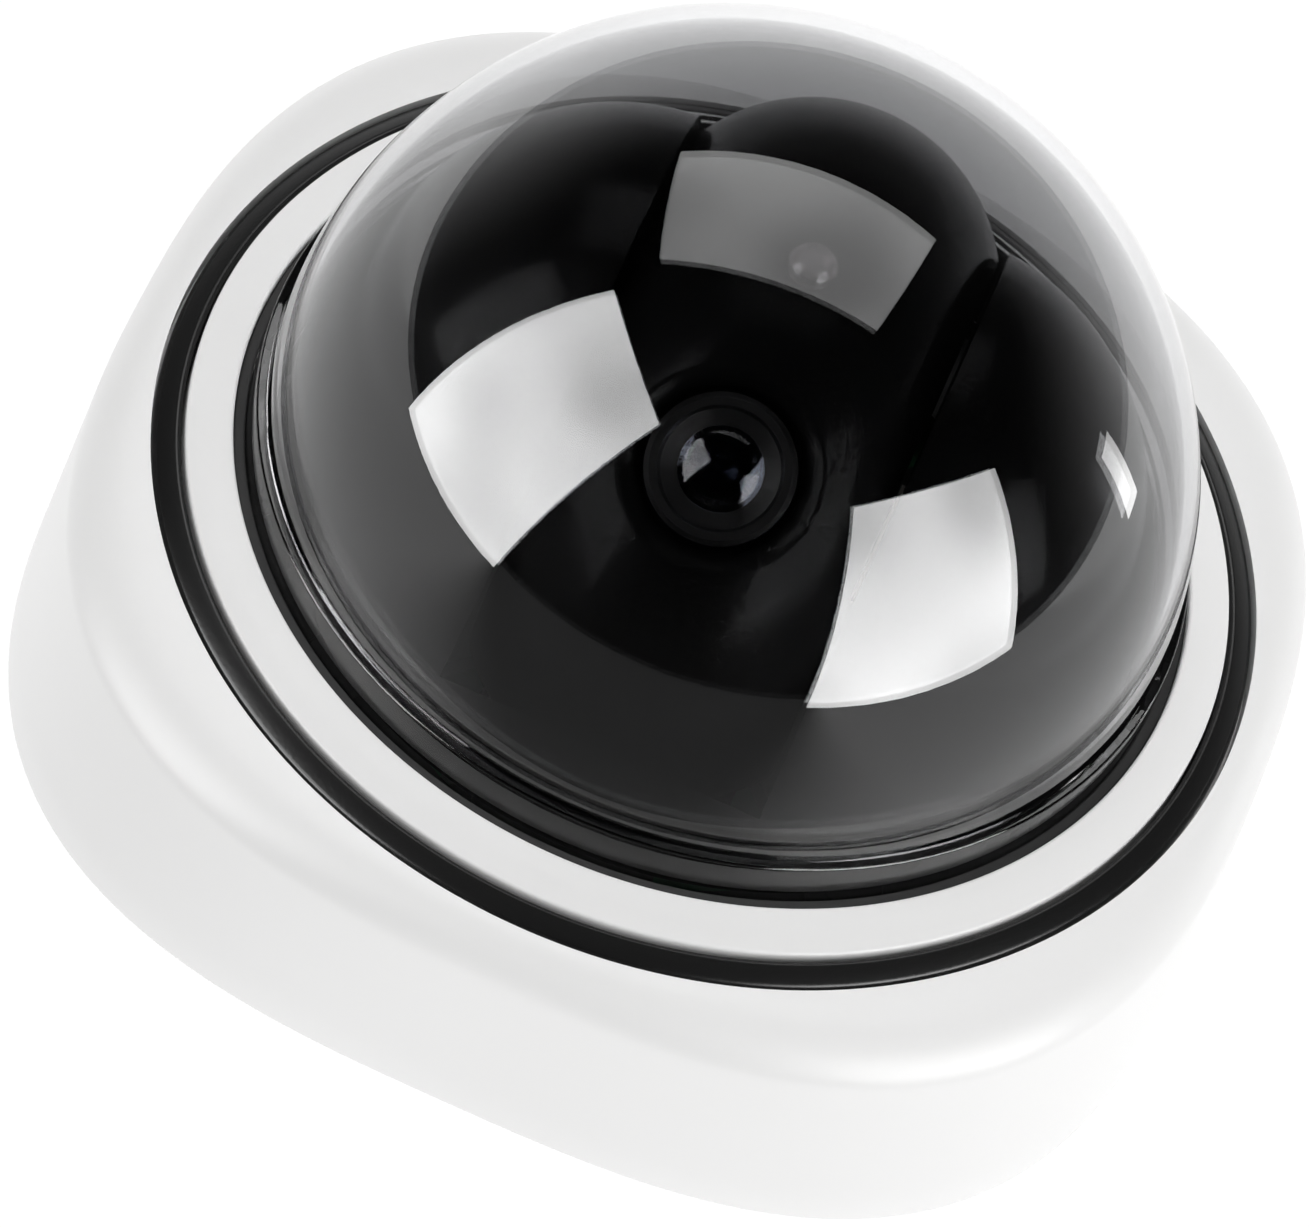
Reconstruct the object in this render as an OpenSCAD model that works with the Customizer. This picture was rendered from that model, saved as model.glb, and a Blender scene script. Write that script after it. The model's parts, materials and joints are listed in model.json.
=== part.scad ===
// Indoor dome camera: square rounded base, black trim ring, white locking ring, clear dome,
// and a black inner shroud that carries a panning and tilting lens drum.
// Origin: centre of the base's underside. +Z points out through the dome. The lens leans towards -Y.

/* [Body shell] */
// Overall width of the square body at its foot, mm
body_width = 118.2; // [100:0.2:150]
// Height of the body from its foot to the shell's top opening, mm
body_height = 23.3; // [20:0.1:36]
// Straight side squareness at the foot, a superellipse exponent
foot_exponent = 2.92; // [2.2:0.02:6]
// Squareness where the shoulder starts
shoulder_exponent = 2.61; // [2.1:0.01:6]
// How much narrower each side is at the shoulder, mm
side_draft = 0.75; // [0:0.05:4]
// Height of the rounded shoulder, mm
shoulder_height = 4.8; // [2:0.1:8]
// Wall thickness of the shell, mm
shell_wall = 2.3; // [1.2:0.1:4]
// Points around the shell
shell_points = 96; // [48:4:120]

/* [Rings] */
// Outer radius of the black trim ring, mm
trim_r = 54; // [44:0.1:70]
// Radial width of the trim ring, mm
trim_width = 2.5; // [1.5:0.1:6]
// Gap between the dome's skirt and the lip around the locking ring's opening, mm
lip_gap = 1.25; // [0.8:0.05:3]
// Rise of the locking ring's inner lip above the shell's opening, mm
lock_lip_rise = 2.5; // [1:0.1:6]
// Turn of the locking ring from locked to open, degrees
lock_turn = 20; // [19:1:30]

/* [Dome] */
// Outer radius of the clear dome, mm
dome_r = 44.75; // [36:0.05:58]
// Dome wall thickness, mm
dome_wall = 1.5; // [1:0.1:3]
// Height of the dome's centre above the shell's top opening, mm
dome_centre_rise = 5.95; // [2:0.05:12]
// How far the dome's straight skirt stands outside its ball, mm
skirt_step = 0.85; // [0.2:0.05:2]

/* [Shroud] */
// How much smaller each rounded cheek's radius is than the dome's inside radius, mm
cheek_gap = 18.25; // [14:0.05:24]
// Distance of each cheek's centre from the middle, mm
cheek_x = 13.5; // [8:0.5:20]
// Height of the cheek centres above the dome centre, mm
cheek_rise = 7.5; // [0:0.5:12]
// Shroud wall thickness, mm
shroud_wall = 1.6; // [1:0.1:3]
// Gap on each side between the drum and the slot in the shroud, mm
slot_gap = 0.6; // [0.4:0.1:2]

/* [Lens drum] */
// Gap between the drum's crown and the inside of the dome, mm
drum_gap = 5.75; // [5:0.05:9]
// How much larger the crown's section radius is than half the drum's width, mm
crown_over = 2.6; // [1:0.1:6]
// Half width of the drum, mm
drum_half = 15.2; // [10:0.1:18]
// Lens lean from straight up, degrees
lens_lean = 40; // [10:1:70]
// Lens barrel radius at the front, mm
barrel_r = 6.9; // [5:0.1:8]
// Front glass radius, mm
glass_r = 3.9; // [2:0.1:5]
// Radius of the opening in the drum, mm
drum_hole_r = 9.5; // [8:0.1:12]
// Radius of the indicator dome, mm
indicator_r = 2.5; // [1.5:0.1:4]
// Indicator's lean from straight up, degrees
indicator_lean = 8; // [0:1:20]

/* [Base] */
// Base plate thickness, mm
plate_t = 2.4; // [1.6:0.1:4]
// Spacing of the four fixing holes, mm
fixing_spacing = 44; // [38:1:48]
// Fixing hole radius, mm
fixing_hole_r = 2.25; // [1.5:0.05:3]
// Cable bore radius, mm
cable_r = 3; // [2:0.1:5]
// Main board radius, mm
board_r = 45; // [36:0.5:46]

/* [Hidden] */
$fn = 96;
eps = 0.01;
gap = 0.3;
run = 0.05;
white = [0.93, 0.93, 0.92];
black = [0.06, 0.06, 0.065];
satin_black = [0.1, 0.1, 0.1];
clear = [0.85, 0.9, 0.95, 0.25];
steel = [0.7, 0.7, 0.72];
green = [0.08, 0.3, 0.16];
chip_grey = [0.13, 0.13, 0.14];
nylon = [0.85, 0.84, 0.78];

foot_half = body_width / 2;
shoulder_half = foot_half - side_draft;
open_r = trim_r + gap;
shoulder_z = body_height - shoulder_height;
seat_z = body_height - 2.3;
ledge_z = seat_z - 2;
ledge_r = trim_r - 2;

dome_z = body_height + dome_centre_rise;
dome_in_r = dome_r - dome_wall;
skirt_r = dome_r + skirt_step;
skirt_top_z = dome_z + 0.85;
flange_z = body_height + 0.9;
flange_t = 1.5;

lock_out_r = trim_r - trim_width - gap;
lock_lip_r = skirt_r + lip_gap;
lip_z = body_height + lock_lip_rise;
lock_edge_z = body_height + 1.2;
lock_wall_r = lock_lip_r + 1.85;
collar_r = lock_out_r - 1.8;
collar_z = body_height - 10.3;
lug_t = 1.6;
lug_span = 16;
frame_out_r = ledge_r + 1.2;
frame_in_r = ledge_r - 0.6;
frame_lip_z = collar_z + lug_t + gap + 1.2;
frame_lip_t = 2.2;

hub_r = 8;
bracket_z = plate_t + 8.6;
bracket_t = 1.6;
bracket_top = bracket_z + bracket_t;
bracket_r = lock_wall_r - 2;
washer_t = 0.5;
table_z = bracket_top + washer_t;
table_t = 2.5;
table_top = table_z + table_t;
post_ring = lock_wall_r - 5.5;
post_r = 3;

board_z = plate_t + 2.6;
board_t = 1.6;
board_top = board_z + board_t;

platform_z = dome_z + 3;
platform_t = 1.6;
shroud_r = dome_in_r - 1;
cheek_r = dome_in_r - cheek_gap;
drum_r = dome_in_r - drum_gap;
slot_half = drum_half + slot_gap;
slot_end = drum_r + 0.6;
column_reach = post_ring - 7.13;
column_x = column_reach * 0.6931;
column_y = column_reach * 0.7208;
column_r = 3;
foot_r = 4.2;

crown_r = drum_half + crown_over;
crown_major = drum_r - crown_r;
drum_wall = 1.6;
drum_back = 92;
drum_front = 95;
pin_r = 2.5;
arm_x = drum_half + 2.6;
arm_t = 2.2;
arm_w = 14;
barrel_front = drum_r + 1.1;
thread_r = 6;
holder_r = 8;
sensor_s = 6;
board_half = drum_half - 3.2;
thread_top = drum_r - 10.9;

// One point of a superellipse of half width s and exponent e, blended by k towards a circle.
function squircle_r(t, s, e) = s / pow(pow(abs(cos(t)), e) + pow(abs(sin(t)), e), 1 / e);
function shell_r(t, s, e, round_r, k) = squircle_r(t, s, e) * (1 - k) + round_r * k;
function shell_ring(z, s, e, round_r, k) = [
  for (i = [0:shell_points - 1])
    let (t = 360 * i / shell_points, r = shell_r(t, s, e, round_r, k))
    [r * cos(t), r * sin(t), z]
];

// Shell sections in order: up the outside, over the shoulder, down into the seat, down the inside.
shoulder_steps = 7;
outer_rings = [
  shell_ring(0, foot_half - 0.6, foot_exponent, open_r, 0),
  shell_ring(0.7, foot_half, foot_exponent, open_r, 0),
  shell_ring(shoulder_z / 2, foot_half - side_draft / 2, (foot_exponent + shoulder_exponent) / 2, open_r, 0),
  for (j = [0:shoulder_steps])
    let (a = 90 * j / shoulder_steps)
    shell_ring(shoulder_z + shoulder_height * sin(a), shoulder_half, shoulder_exponent, open_r, 1 - cos(a))
];
inner_rings = [
  shell_ring(seat_z, shoulder_half, shoulder_exponent, open_r, 1),
  shell_ring(seat_z, shoulder_half, shoulder_exponent, ledge_r, 1),
  shell_ring(ledge_z, shoulder_half, shoulder_exponent, ledge_r, 1),
  shell_ring(ledge_z, shoulder_half - shell_wall - 1, shoulder_exponent, open_r - 0.2, 1),
  shell_ring(ledge_z - 2, shoulder_half - shell_wall, shoulder_exponent, ledge_r, 0),
  shell_ring(0, foot_half - shell_wall - 0.3, foot_exponent, ledge_r, 0)
];
shell_rings = concat(outer_rings, inner_rings);
ring_count = len(shell_rings);

function ring_points(rings) = [for (r = rings) for (p = r) p];
function ring_faces(n, m) = [
  for (j = [0:m - 1]) for (i = [0:n - 1]) for (h = [0:1])
    let (a = j * n + i, b = j * n + (i + 1) % n, c = ((j + 1) % m) * n + (i + 1) % n, d = ((j + 1) % m) * n + i)
    h == 0 ? [a, d, b] : [b, d, c]
];

module at_corners(spacing) {
  for (sx = [-1, 1]) {
    for (sy = [-1, 1]) {
      translate([sx * spacing / 2, sy * spacing / 2, 0]) children();
    }
  }
}

module around(count, radius, start) {
  for (i = [0:count - 1]) {
    rotate([0, 0, start + 360 * i / count]) translate([radius, 0, 0]) children();
  }
}

// A block in cylindrical form: radii r0 to r1, heights z0 to z1, from angle a over span.
module sector(r0, r1, z0, z1, a, span) {
  rotate([0, 0, a]) rotate_extrude(angle = span) translate([r0, z0]) square([r1 - r0, z1 - z0]);
}

module tube(r0, r1, z0, z1) {
  translate([0, 0, z0]) linear_extrude(z1 - z0) difference() {
    circle(r = r1);
    circle(r = r0);
  }
}

// Pan-head screw, head on top of z = 0, shank hanging down.
module pan_screw(shank_r, shank_l, head_r, head_h) {
  difference() {
    union() {
      translate([0, 0, -shank_l]) cylinder(r = shank_r, h = shank_l + eps);
      cylinder(r = head_r, h = head_h);
    }
    for (a = [0, 90]) {
      rotate([0, 0, a]) translate([-head_r * 0.6, -0.3, head_h - 0.6]) cube([head_r * 1.2, 0.6, 1]);
    }
  }
}

module lens_frame() {
  translate([0, 0, dome_z]) rotate([lens_lean, 0, 0]) children();
}

module along_x() {
  translate([0, 0, dome_z]) rotate([0, 90, 0]) children();
}

// Fixed body

module body_shell() {
  color(white) polyhedron(points = ring_points(shell_rings), faces = ring_faces(shell_points, ring_count),
    convexity = 6);
}

module plate_outline() {
  polygon([for (i = [0:shell_points - 1])
    let (t = 360 * i / shell_points, r = squircle_r(t, foot_half - shell_wall - 0.9, foot_exponent))
    [r * cos(t), r * sin(t)]]);
}

module base_plate() {
  color(steel) difference() {
    union() {
      linear_extrude(plate_t) plate_outline();
      around(4, post_ring, 0) translate([0, 0, plate_t - eps]) cylinder(r = post_r, h = bracket_z - plate_t + eps);
      around(4, 38, 45) translate([0, 0, plate_t - eps]) cylinder(r = 2.4, h = board_z - plate_t + eps);
    }
    at_corners(fixing_spacing) translate([0, 0, -1]) cylinder(r = fixing_hole_r, h = plate_t + 2);
    translate([0, 0, -1]) cylinder(r = hub_r + 1, h = plate_t + 2);
    around(4, post_ring, 0) translate([0, 0, bracket_z - 6]) cylinder(r = 1.25, h = 7);
    around(4, 38, 45) translate([0, 0, board_z - 3.4]) cylinder(r = 1, h = 4);
    around(4, frame_in_r - 2.2, 22.5) translate([0, 0, -1]) cylinder(r = 1.7, h = plate_t + 2);
    around(4, frame_in_r - 2.2, 22.5) translate([0, 0, -eps]) cylinder(r = 3, h = 1.3);
  }
}

module inner_frame() {
  boss_r = frame_in_r - 2.2;
  stop_w = 2.6;
  notch = lug_span + 3;
  color(satin_black) difference() {
    union() {
      tube(frame_in_r, frame_out_r, plate_t, ledge_z);
      for (i = [0:2]) {
        sector(collar_r + 0.08, frame_in_r + 0.6, frame_lip_z, frame_lip_z + frame_lip_t,
          120 * i + lock_turn + notch / 2, 120 - notch);
        for (a = [-lug_span / 2 - stop_w, lock_turn + lug_span / 2 + stop_w + 1]) {
          rotate([0, 0, 120 * i + a]) translate([collar_r + 0.4, -stop_w / 2, collar_z])
            cube([frame_in_r + 0.9 - collar_r - 0.4, stop_w, frame_lip_z + 0.5 - collar_z]);
        }
      }
      around(4, boss_r, 22.5) translate([0, 0, plate_t + 0.2]) cylinder(r = 2.8, h = 6);
    }
    around(4, boss_r, 22.5) translate([0, 0, plate_t - 1]) cylinder(r = 1.25, h = 6);
  }
}

module trim_ring() {
  corner = 0.9;
  color(black) rotate_extrude() union() {
    translate([trim_r - trim_width, seat_z]) square([trim_width, body_height - seat_z - corner]);
    translate([trim_r - corner, body_height - corner]) circle(r = corner);
    translate([trim_r - trim_width + 0.4, body_height + 0.3]) circle(r = 0.4);
    polygon([
      [trim_r - trim_width, seat_z + 0.5],
      [trim_r - corner, seat_z + 0.5],
      [trim_r - corner + corner * sin(24), body_height - corner + corner * cos(24)],
      [trim_r - trim_width + 0.4 + 0.4 * sin(24), body_height + 0.3 + 0.4 * cos(24)],
      [trim_r - trim_width, body_height + 0.3]
    ]);
  }
}

module main_board() {
  color(green) translate([0, 0, board_z]) linear_extrude(board_t) difference() {
    circle(r = board_r);
    circle(r = hub_r + 3);
    around(4, post_ring, 0) circle(r = post_r + 0.5);
    around(4, 38, 45) circle(r = 1.1);
    around(4, frame_in_r - 2.2, 22.5) circle(r = 3.4);
    at_corners(fixing_spacing) circle(r = fixing_hole_r + 2.5);
  }
}

module processor() {
  color(chip_grey) translate([-8, 15, board_top]) cube([15, 15, 1.6]);
}

module memory_chips() {
  color(chip_grey) for (x = [-37, -25]) {
    translate([x, 5, board_top]) cube([9, 12, 1.2]);
  }
}

module capacitors() {
  color(steel) for (i = [0:2]) {
    translate([17 + 8 * i, 3 - 7 * i, board_top]) cylinder(r = 3.1, h = 3.6);
  }
}

module power_inductor() {
  color(chip_grey) translate([5, -27, board_top]) cube([8, 8, 3.5]);
}

module cable_header() {
  color(nylon) translate([-30, -14, board_top]) difference() {
    cube([16, 6, 3.8]);
    translate([1, 1, 1]) cube([14, 4, 3]);
  }
}

module card_socket() {
  color(steel) translate([-13, -30.5, board_top]) difference() {
    cube([15, 14, 1.8]);
    translate([1, -1, 0.5]) cube([13, 14, 0.8]);
  }
}

module cable_grommet() {
  color(black) rotate_extrude() difference() {
    union() {
      translate([cable_r, 0.2]) square([hub_r + 1 - cable_r, plate_t - 0.2 + eps]);
      translate([cable_r, plate_t]) square([hub_r + 2 - cable_r, 1.4]);
    }
    translate([hub_r, plate_t + 1.4]) circle(r = 0.4);
  }
}

module housing_screws() {
  color(steel) around(4, frame_in_r - 2.2, 22.5) translate([0, 0, 1.2]) rotate([180, 0, 0])
    translate([0, 0, 0]) pan_screw(1.2, 5.4, 2.6, 1.1);
}

module board_screws() {
  color(steel) around(4, 38, 45) translate([0, 0, board_top]) pan_screw(0.95, 4, 2, 1.2);
}

// Fixed pan bearing

module pan_bracket() {
  color(satin_black) difference() {
    union() {
      translate([0, 0, bracket_z]) cylinder(r = bracket_r, h = bracket_t);
      translate([0, 0, bracket_top - eps]) cylinder(r = hub_r, h = table_top + 1.4 - bracket_top);
    }
    translate([0, 0, bracket_z - 1]) cylinder(r = hub_r - 2.4, h = 20);
    around(4, post_ring, 0) translate([0, 0, bracket_z - 1]) cylinder(r = 1.6, h = bracket_t + 2);
    for (i = [0:3]) {
      sector(18, 36, bracket_z - 1, bracket_top + 1, 90 * i + 15, 60);
    }
  }
}

module bracket_screws() {
  color(steel) around(4, post_ring, 0) translate([0, 0, bracket_top]) pan_screw(1.2, 6, 2.2, 1.3);
}

module pan_washer() {
  color(nylon) tube(hub_r + 0.1, hub_r + 5, bracket_top, table_z);
}

module hub_clip() {
  color(steel) difference() {
    tube(hub_r, hub_r + 2.6, table_top + 0.2, table_top + 1.2);
    translate([0, -1, table_top - 1]) cube([hub_r + 4, 2, 4]);
  }
}

// Locking ring and dome

module lock_ring() {
  color(white) union() {
    rotate_extrude() difference() {
      polygon([
        [lock_out_r, seat_z - 2.2],
        [lock_out_r, lock_edge_z - 0.4],
        [lock_out_r - 0.35, lock_edge_z + 0.05],
        [lock_lip_r + 0.5, lip_z - 0.05],
        [lock_lip_r + 0.1, lip_z - 0.15],
        [lock_lip_r, lip_z - 0.5],
        [lock_lip_r, flange_z + 0.05],
        [lock_wall_r, flange_z + 0.05],
        [lock_wall_r, collar_z],
        [collar_r, collar_z],
        [collar_r, seat_z - 2.2]
      ]);
      translate([lock_wall_r, flange_z - flange_t - 1.9]) circle(r = 0.35);
    }
    for (i = [0:2]) {
      sector(collar_r - 0.4, collar_r + 1.9, collar_z, collar_z + lug_t, 120 * i - lug_span / 2, lug_span);
    }
  }
}

module dome() {
  skirt_in = skirt_r - dome_wall;
  color(clear) rotate_extrude() union() {
    difference() {
      translate([0, dome_z]) circle(r = dome_r);
      translate([0, dome_z]) circle(r = dome_in_r);
      translate([-dome_r - 1, dome_z - dome_r - 1]) square([dome_r + 1, 2 * dome_r + 2]);
      translate([0, dome_z - dome_r - 1]) square([dome_r + 1, dome_r + 1.4]);
    }
    difference() {
      translate([0, flange_z - flange_t]) square([skirt_r, skirt_top_z - flange_z + flange_t]);
      translate([0, flange_z - flange_t - 1]) square([skirt_in, dome_z - flange_z + flange_t + 1.2]);
      translate([0, dome_z]) circle(r = dome_in_r);
    }
    translate([skirt_in, flange_z - flange_t]) square([lock_wall_r - gap - skirt_in, flange_t]);
  }
}

module dome_seal() {
  color(black) tube(skirt_r + 0.05, lock_lip_r - 0.05, flange_z, lip_z - 0.6);
}

module dome_cushion() {
  color(black) tube(skirt_r - 0.4, lock_wall_r - 0.3, flange_z - flange_t - 1.2, flange_z - flange_t);
}

module clamp_ring() {
  base_z = flange_z - flange_t - 1.2;
  color(satin_black) rotate_extrude() union() {
    translate([skirt_r - 0.8, base_z - 1.4]) square([lock_wall_r - skirt_r + 0.77, 1.4]);
    translate([lock_wall_r, base_z - 0.7]) circle(r = 0.32);
  }
}

// Panning carriage

module pan_table_plan(reach, corners) {
  difference() {
    union() {
      circle(r = 15);
      for (a = corners) {
        rotate([0, 0, a]) translate([0, -foot_r]) square([reach, 2 * foot_r]);
        rotate([0, 0, a]) translate([reach, 0]) circle(r = foot_r);
      }
      square([2 * (arm_x + arm_t + 2), arm_w], center = true);
    }
    circle(r = hub_r + run);
    for (a = corners) {
      rotate([0, 0, a]) translate([reach, 0]) circle(r = 1.45);
    }
  }
}

module pan_table() {
  reach = sqrt(column_x * column_x + column_y * column_y);
  lean = atan2(column_y, column_x);
  corners = [lean, 180 - lean, 180 + lean, -lean];
  color(satin_black) difference() {
    translate([0, 0, table_z]) linear_extrude(table_t) pan_table_plan(reach, corners);
    for (a = corners) {
      rotate([0, 0, a]) translate([reach, 0, table_z - 1]) cylinder(r = 2.7, h = 2.1);
    }
  }
}

module yoke_arms() {
  color(steel) for (s = [-1, 1]) {
    difference() {
      union() {
        translate([s > 0 ? arm_x : -arm_x - arm_t, -arm_w / 2, table_top]) cube([arm_t, arm_w, dome_z - table_top]);
        along_x() translate([0, 0, s > 0 ? arm_x : -arm_x - arm_t]) cylinder(r = arm_w / 2, h = arm_t);
      }
      along_x() translate([0, 0, -arm_x - arm_t - 1]) cylinder(r = pin_r, h = 2 * (arm_x + arm_t + 1));
    }
  }
}

module cheek() {
  low = platform_z - platform_t / 2 - dome_z - cheek_rise;
  in_x = slot_half - cheek_x;
  difference() {
    intersection() {
      sphere(r = cheek_r);
      translate([in_x - 0.6, -cheek_r - 1, low]) cube([2 * cheek_r, 2 * cheek_r + 2, 2 * cheek_r]);
    }
    intersection() {
      sphere(r = cheek_r - shroud_wall);
      translate([in_x + shroud_wall, -cheek_r - 1, low - 1]) cube([2 * cheek_r, 2 * cheek_r + 2, 2 * cheek_r]);
    }
  }
}

module cheek_hole() {
  translate([0, 0, platform_z - platform_t - 1]) linear_extrude(platform_t + 2) intersection() {
    translate([cheek_x, 0]) circle(r = cheek_r - shroud_wall - 1.5);
    translate([slot_half + shroud_wall, -cheek_r]) square([2 * cheek_r, 2 * cheek_r]);
  }
}

module shroud_column() {
  difference() {
    translate([column_x, column_y, table_top]) cylinder(r = column_r, h = platform_z - table_top - 0.8);
    translate([column_x, column_y, table_top - 1]) cylinder(r = 1.25, h = 9);
  }
}

module shroud_rim() {
  rotate_extrude() union() {
    translate([shroud_r - 1.4, dome_z - 7]) square([1.4, platform_z - 1 - dome_z + 7]);
    translate([0, platform_z - platform_t]) square([shroud_r - 1, platform_t]);
    translate([shroud_r - 1, platform_z - 1]) circle(r = 1);
  }
}

module shroud() {
  color(satin_black) difference() {
    union() {
      difference() {
        shroud_rim();
        cheek_hole();
        mirror([1, 0, 0]) cheek_hole();
      }
      for (s = [0, 1]) {
        mirror([s, 0, 0]) translate([cheek_x, 0, dome_z + cheek_rise]) cheek();
        mirror([s, 0, 0]) shroud_column();
        mirror([s, 0, 0]) mirror([0, 1, 0]) shroud_column();
      }
    }
    translate([-slot_half, -slot_end, platform_z - 5]) cube([2 * slot_half, 2 * slot_end, 60]);
    along_x() translate([0, 0, -slot_half - shroud_wall - 1])
      cylinder(r = arm_w / 2 + 1, h = 2 * (slot_half + shroud_wall + 1));
  }
}

module shroud_screws() {
  color(steel) for (sx = [-1, 1]) {
    for (sy = [-1, 1]) {
      translate([sx * column_x, sy * column_y, table_z + 1.05]) rotate([180, 0, 0]) pan_screw(1.2, 8, 2.4, 1);
    }
  }
}

module tilt_pins() {
  color(steel) for (s = [-1, 1]) {
    along_x() translate([0, 0, s > 0 ? drum_half - 2.2 : -arm_x - arm_t - 0.8])
      cylinder(r = pin_r, h = arm_x + arm_t + 0.8 - drum_half + 2.2);
    along_x() translate([0, 0, s > 0 ? arm_x + arm_t : -arm_x - arm_t - 1.2]) cylinder(r = 4, h = 1.2);
  }
}

module tilt_washers() {
  color(nylon) for (s = [-1, 1]) {
    along_x() translate([0, 0, s > 0 ? drum_half + 0.3 : -arm_x]) difference() {
      cylinder(r = 6, h = arm_x - drum_half - 0.3);
      translate([0, 0, -1]) cylinder(r = pin_r + 0.1, h = 5);
    }
  }
}

// Tilting drum

module drum_section() {
  difference() {
    intersection() {
      union() {
        translate([crown_major, 0]) circle(r = crown_r);
        translate([0, -drum_half - 1]) square([crown_major, 2 * drum_half + 2]);
      }
      translate([6, -drum_half]) square([drum_r + 2, 2 * drum_half]);
    }
    intersection() {
      union() {
        translate([crown_major, 0]) circle(r = crown_r - drum_wall);
        translate([0, -drum_half]) square([crown_major, 2 * drum_half]);
      }
      translate([0, -drum_half + drum_wall]) square([drum_r + 2, 2 * (drum_half - drum_wall)]);
    }
  }
}

module drum_shell() {
  color(black) difference() {
    union() {
      along_x() rotate([0, 0, 180 - drum_back]) rotate_extrude(angle = drum_back + drum_front) drum_section();
      for (s = [-1, 1]) {
        along_x() translate([0, 0, s > 0 ? drum_half - drum_wall - 0.2 : -drum_half - 0.1])
          cylinder(r = 8, h = drum_wall + 0.3);
      }
    }
    along_x() translate([0, 0, -drum_half - 1]) cylinder(r = pin_r + run, h = 2 * drum_half + 2);
    lens_frame() translate([0, 0, drum_r - 12.5]) cylinder(r = drum_hole_r, h = 20);
    translate([0, 0, dome_z]) rotate([indicator_lean, 0, 0]) translate([0, 0, drum_r - 7.5]) cylinder(r = indicator_r, h = 12);
  }
}

module lens_bezel() {
  color(black) lens_frame() rotate_extrude() polygon([
    [barrel_r + 0.5, drum_r - 6],
    [drum_hole_r, drum_r - 6],
    [drum_hole_r, drum_r - 0.3],
    [drum_hole_r - 0.4, drum_r + 0.1],
    [barrel_r + 0.8, drum_r - 0.6],
    [barrel_r + 0.5, drum_r - 1]
  ]);
}

module indicator() {
  color([0.9, 0.75, 0.8, 0.6]) translate([0, 0, dome_z]) rotate([indicator_lean, 0, 0]) union() {
    translate([0, 0, drum_r - 2.6]) cylinder(r = indicator_r, h = 2.2);
    translate([0, 0, drum_r - 0.4]) intersection() {
      sphere(r = indicator_r);
      translate([-4, -4, -eps]) cube([8, 8, 2]);
    }
  }
}

module indicator_board() {
  color(chip_grey) translate([0, 0, dome_z]) rotate([indicator_lean, 0, 0]) translate([-4.5, -4.5, drum_r - 3.8])
    cube([9, 9, 1.2]);
}

module sensor_plate() {
  plate_half = drum_half - drum_wall - 0.2;
  color(steel) lens_frame() difference() {
    translate([-plate_half, -11, sensor_s - 2.2]) cube([2 * plate_half, 22, 1.2]);
    translate([-5, -14, sensor_s - 3]) cube([10, 8, 3]);
  }
}

module sensor_board() {
  color(green) lens_frame() difference() {
    translate([-board_half, -10.5, sensor_s - 1]) cube([2 * board_half, 21, 1.4]);
    for (s = [-1, 1]) {
      translate([s * (board_half - 2.2), 0, sensor_s - 2]) cylinder(r = 1, h = 4);
    }
  }
}

module image_sensor() {
  color(chip_grey) lens_frame() translate([-4.5, -3.8, sensor_s + 0.4]) cube([9, 7.6, 1.3]);
}

module lens_holder() {
  color(satin_black) lens_frame() difference() {
    union() {
      translate([-board_half, -8, sensor_s + 0.4]) cube([2 * board_half, 16, 4]);
      translate([0, 0, sensor_s + 4]) cylinder(r = holder_r, h = thread_top - 0.6 - sensor_s - 4);
    }
    translate([-5.5, -5, sensor_s]) cube([11, 10, 2.4]);
    translate([0, 0, sensor_s]) cylinder(r = thread_r + run, h = 30);
  }
}

// Focusing lens

module lens_barrel() {
  color(black) lens_frame() rotate_extrude() polygon([
    [glass_r, sensor_s + 6],
    [thread_r, sensor_s + 6],
    [thread_r, thread_top],
    [barrel_r, thread_top],
    [barrel_r, barrel_front - 0.5],
    [barrel_r - 0.5, barrel_front],
    [glass_r + 1.8, barrel_front],
    [glass_r + 1.5, barrel_front - 0.7],
    [glass_r, barrel_front - 1.5]
  ]);
}

module front_lens() {
  bulge = 1.1;
  ball = (glass_r * glass_r + bulge * bulge) / (2 * bulge);
  color(clear) lens_frame() translate([0, 0, barrel_front - 4]) union() {
    cylinder(r = glass_r, h = 2.2);
    intersection() {
      translate([0, 0, 2.2 + bulge - ball]) sphere(r = ball);
      translate([0, 0, 2.2 - eps]) cylinder(r = glass_r, h = bulge + 1);
    }
  }
}

module rear_lens() {
  color(clear) lens_frame() translate([0, 0, sensor_s + 7]) cylinder(r = glass_r, h = 3);
}

body_shell();
base_plate();
inner_frame();
trim_ring();
main_board();
processor();
memory_chips();
capacitors();
power_inductor();
cable_header();
card_socket();
cable_grommet();
housing_screws();
board_screws();
pan_bracket();
bracket_screws();
pan_washer();
hub_clip();
lock_ring();
dome();
dome_seal();
dome_cushion();
clamp_ring();
pan_table();
yoke_arms();
shroud();
shroud_screws();
tilt_pins();
tilt_washers();
drum_shell();
lens_bezel();
indicator();
indicator_board();
sensor_plate();
sensor_board();
image_sensor();
lens_holder();
lens_barrel();
front_lens();
rear_lens();
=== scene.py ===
import bpy
import bmesh
import json
import math
from mathutils import Matrix, Vector


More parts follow.
